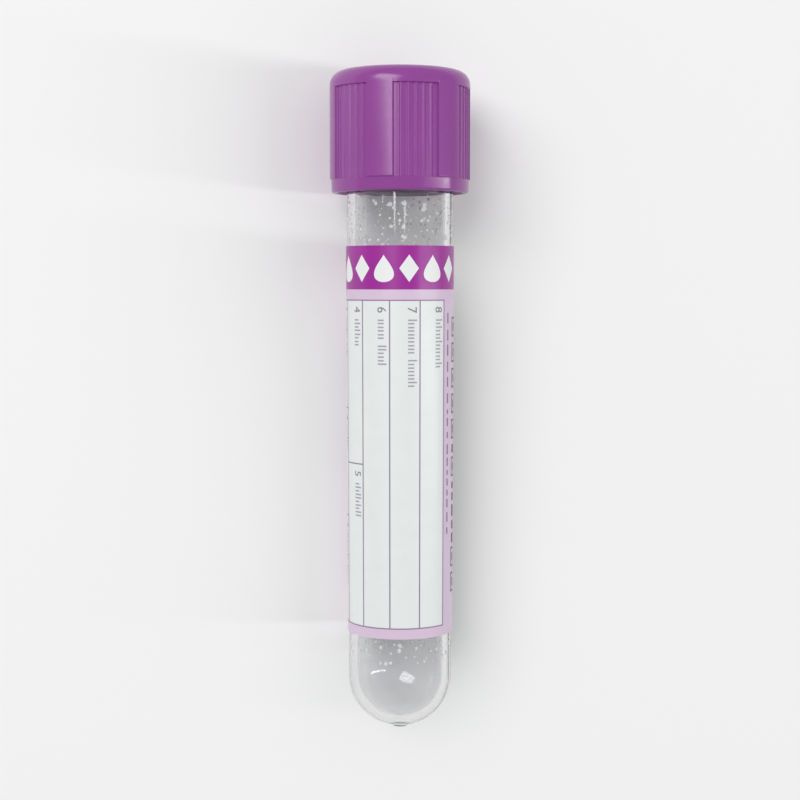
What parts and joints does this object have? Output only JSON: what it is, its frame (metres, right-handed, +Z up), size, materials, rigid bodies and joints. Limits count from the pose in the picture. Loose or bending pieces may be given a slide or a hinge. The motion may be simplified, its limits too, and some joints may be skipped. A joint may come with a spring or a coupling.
{
  "type": "blood collection tube",
  "caption": "Evacuated plastic blood sample tube with a round end, a wrapped write-on label and a ribbed twist-off cap over a rubber stopper.",
  "frame": {"origin": "on the bench under the middle of the tube as it lies on its side", "axes": "+Y along the tube towards its cap, +Z up from the bench; the tube's axis leans up towards the cap by 1.95 degrees in the YZ plane, because the cap's foot band and the round end both touch the bench"},
  "size_m": [0.017, 0.0802, 0.0172],
  "materials": {
    "clear_tube": "clear moulded PET, polished",
    "label_film": "printed satin film, white with a purple band",
    "stopper_rubber": "moulded butyl rubber, matt dark grey",
    "cap_plastic": "moulded polyethylene, glossy purple",
    "ring_plastic": "moulded polyethylene, black"
  },
  "bodies": {
    "tube_body": {"tube": "clear_tube", "label": "label_film"},
    "stopper_body": {"stopper": "stopper_rubber"},
    "cap_body": {"cap": "cap_plastic", "cap_ring": "ring_plastic"}
  },
  "joints": [
    {"name": "cap_lift", "type": "slide", "parent": "tube_body", "child": "stopper_body", "axis": [0, 0.9994, 0.034], "range_m": [0, 0.016]},
    {"name": "cap_twist", "type": "hinge", "parent": "stopper_body", "child": "cap_body", "pos_m": [0, 0.03488, 0.00861], "axis": [0, 0.9994, 0.034], "range_deg": [0, 320.5]}
  ],
  "couplings": [
    {"joint": "cap_twist", "follows": "cap_lift", "rad_per_m": 349.07}
  ]
}
